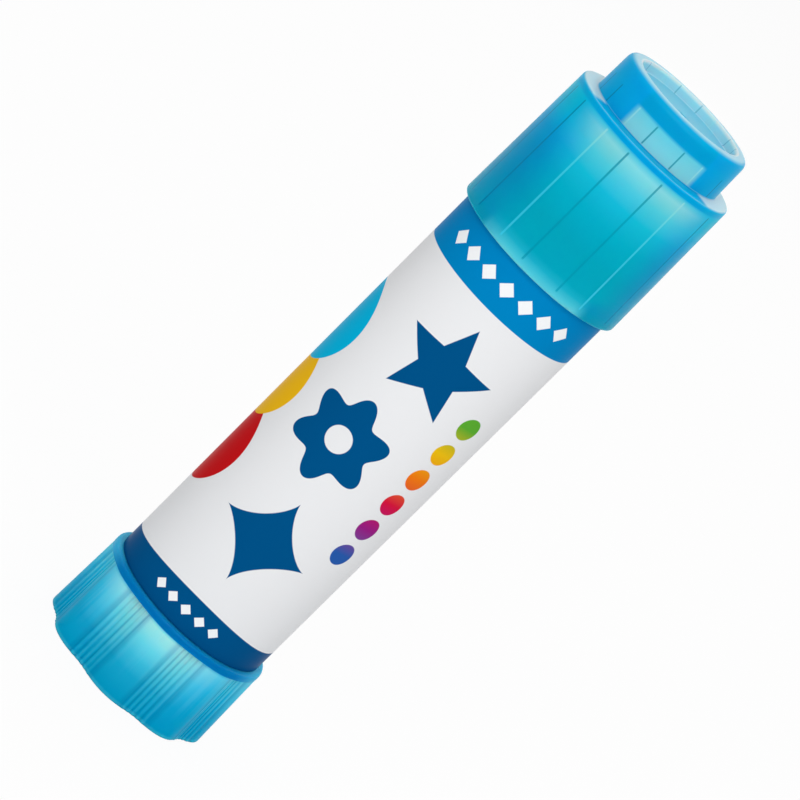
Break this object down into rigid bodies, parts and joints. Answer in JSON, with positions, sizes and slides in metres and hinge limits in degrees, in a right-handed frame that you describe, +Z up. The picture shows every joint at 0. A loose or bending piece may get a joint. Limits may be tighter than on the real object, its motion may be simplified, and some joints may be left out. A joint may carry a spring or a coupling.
{
  "type": "glue stick",
  "caption": "Twist-up glue stick: a lobed knob turns a threaded spindle, which lifts the glue out of a labelled tube under a push-on cap with a smaller boss on top.",
  "frame": {"origin": "centre of the knob's base, on the surface that the stick stands on", "axes": "+Z up along the stick towards the cap, -Y towards the viewer of the label's front"},
  "size_m": [0.0244, 0.0244, 0.0972],
  "materials": {
    "blue_plastic": "translucent frosted polypropylene, cyan blue",
    "white_plastic": "satin white polypropylene",
    "label_film": "printed film, satin, pale grey with blue bands",
    "glue_paste": "waxy off-white paste"
  },
  "bodies": {
    "barrel": {"barrel": "white_plastic", "label": "label_film"},
    "cap": {"cap": "blue_plastic"},
    "knob": {"turning_knob": "blue_plastic", "spindle": "white_plastic"},
    "carrier": {"carrier": "white_plastic", "glue": "glue_paste"}
  },
  "joints": [
    {"name": "cap_pull", "type": "slide", "parent": "barrel", "child": "cap", "axis": [0, 0, 1], "range_m": [0, 0.04]},
    {"name": "knob_turn", "type": "hinge", "parent": "barrel", "child": "knob", "pos_m": [0, 0, 0.006], "axis": [0, 0, 1], "range_deg": [0, 3600]},
    {"name": "glue_lift", "type": "slide", "parent": "barrel", "child": "carrier", "axis": [0, 0, 1], "range_m": [0, 0.04]}
  ],
  "couplings": [
    {"joint": "glue_lift", "follows": "knob_turn", "m_per_rad": 0.0006366}
  ]
}
